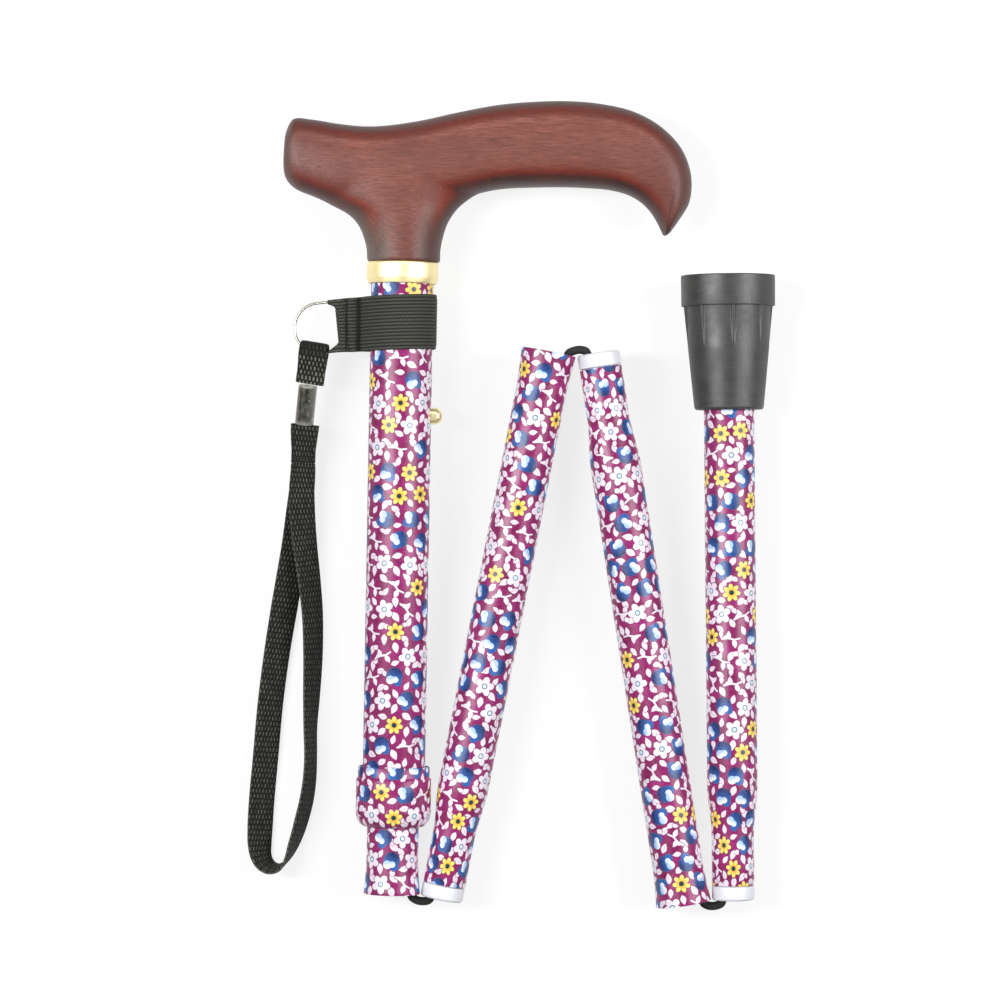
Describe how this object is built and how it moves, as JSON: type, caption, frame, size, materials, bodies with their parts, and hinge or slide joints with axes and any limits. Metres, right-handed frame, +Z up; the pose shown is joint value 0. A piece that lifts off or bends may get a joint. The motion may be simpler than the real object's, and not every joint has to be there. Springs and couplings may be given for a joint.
{
  "type": "folding walking cane",
  "caption": "Folding walking cane with a wooden derby handle, printed tubes, telescoping height adjustment, corded folding joints, rubber tip and wrist strap, lying folded.",
  "frame": {"origin": "centre of the folded cane's footprint on the table it lies on, without the wrist loop", "axes": "+Y along the upper tube towards the handle, within a degree; +X from the handle's butt towards its nose; +Z up off the table"},
  "size_m": [0.1767, 0.2696, 0.0312],
  "materials": {
    "stained_wood": "red-brown stain with a satin lacquer",
    "polished_brass": "polished",
    "printed_tube": "floral print under a clear gloss coat",
    "white_plastic": "moulded, satin",
    "dark_plastic": "moulded, satin",
    "steel": "zinc plated",
    "nickel_wire": "nickel plated",
    "rubber": "moulded, matt",
    "black_elastic": "ribbed woven elastic",
    "black_webbing": "woven webbing",
    "elastic_cord": "braided cover",
    "smoked_plastic": "clear smoked tube"
  },
  "bodies": {
    "upper": {"handle": "stained_wood", "handle_insert": "dark_plastic", "handle_screw": "steel", "brass_collar": "polished_brass", "upper_tube": "printed_tube", "lock_sleeve": "dark_plastic", "elastic_band": "black_elastic"},
    "d_ring": {"d_ring": "nickel_wire"},
    "strap": {"strap_tab": "black_webbing", "strap_sleeve": "smoked_plastic", "strap_core": "black_webbing", "strap_seam": "black_webbing", "wrist_strap": "black_webbing"},
    "clamp": {"clamp_ring": "white_plastic"},
    "nut": {"lock_nut": "printed_tube"},
    "lower": {"lower_tube": "printed_tube", "guide_bush": "white_plastic", "cord_stop": "steel", "cord_run_1": "elastic_cord", "button_spring": "steel"},
    "button": {"snap_button": "polished_brass"},
    "link_1": {"cord_bend_1": "elastic_cord"},
    "section_2": {"tube_2": "printed_tube", "end_ring_2": "white_plastic", "cord_run_2": "elastic_cord"},
    "link_2": {"cord_bend_2": "elastic_cord"},
    "section_3": {"tube_3": "printed_tube", "end_ring_3": "white_plastic", "cord_run_3": "elastic_cord"},
    "link_3": {"cord_bend_3": "elastic_cord"},
    "section_4": {"tube_4": "printed_tube", "end_ring_4": "white_plastic", "cord_run_4": "elastic_cord", "cord_anchor": "dark_plastic", "cord_knot": "steel", "tip_washer": "steel", "rubber_tip": "rubber"}
  },
  "joints": [
    {"name": "height_adjust", "type": "slide", "parent": "upper", "child": "lower", "axis": [-0.0175, -0.9998, 0], "range_m": [0, 0.1], "deforming": ["snap_button", "button_spring"]},
    {"name": "button_press", "type": "slide", "parent": "lower", "child": "button", "axis": [0.9998, -0.0175, 0], "range_m": [-0.0038, 0], "stiffness_N_per_m": 800, "springref_m": 0.0005, "deforming": ["button_spring"]},
    {"name": "clamp_ring_slide", "type": "slide", "parent": "upper", "child": "clamp", "axis": [-0.0175, -0.9998, 0], "range_m": [0, 0.0016]},
    {"name": "lock_nut_turn", "type": "hinge", "parent": "clamp", "child": "nut", "pos_m": [-0.04545, -0.0976, 0.0156], "axis": [-0.0175, -0.9998, 0], "range_deg": [0, 360]},
    {"name": "fold_1", "type": "hinge", "parent": "lower", "child": "link_1", "pos_m": [-0.03772, -0.13036, 0.0156], "axis": [0, 0, -1], "range_deg": [-2.5, 169.9], "deforming": ["cord_bend_1"]},
    {"name": "push_1", "type": "slide", "parent": "link_1", "child": "section_2", "axis": [-0.1925, -0.9813, 0], "range_m": [0, 0.0224], "deforming": ["cord_bend_1", "cord_run_1"]},
    {"name": "fold_2", "type": "hinge", "parent": "section_2", "child": "link_2", "pos_m": [0.01457, 0.04995, 0.0156], "axis": [0, 0, 1], "range_deg": [-2.4, 160.2], "deforming": ["cord_bend_2"]},
    {"name": "push_2", "type": "slide", "parent": "link_2", "child": "section_3", "axis": [-0.153, 0.9882, 0], "range_m": [0, 0.0224], "deforming": ["cord_bend_2", "cord_run_2"]},
    {"name": "fold_3", "type": "hinge", "parent": "section_3", "child": "link_3", "pos_m": [0.05958, -0.13231, 0.0156], "axis": [0, 0, -1], "range_deg": [-2.6, 171.8], "deforming": ["cord_bend_3"]},
    {"name": "push_3", "type": "slide", "parent": "link_3", "child": "section_4", "axis": [0.0087, -1, 0], "range_m": [0, 0.0224], "deforming": ["cord_bend_3", "cord_run_3"]},
    {"name": "d_ring_swing", "type": "hinge", "parent": "upper", "child": "d_ring", "pos_m": [-0.06251, 0.05971, 0.0156], "axis": [0.1011, -0.9949, 0], "range_deg": [-90, 50]},
    {"name": "strap_swing", "type": "hinge", "parent": "d_ring", "child": "strap", "pos_m": [-0.07197, 0.05144, 0.01431], "axis": [-0.979, 0.1641, -0.1209], "range_deg": [-60, 90]}
  ],
  "couplings": [
    {"joint": "clamp_ring_slide", "follows": "lock_nut_turn", "m_per_rad": 0.00023873},
    {"joint": "fold_2", "follows": "fold_1", "ratio": 0.94232},
    {"joint": "fold_3", "follows": "fold_1", "ratio": 1.0106},
    {"joint": "push_2", "follows": "push_1", "ratio": 1},
    {"joint": "push_3", "follows": "push_1", "ratio": 1}
  ]
}
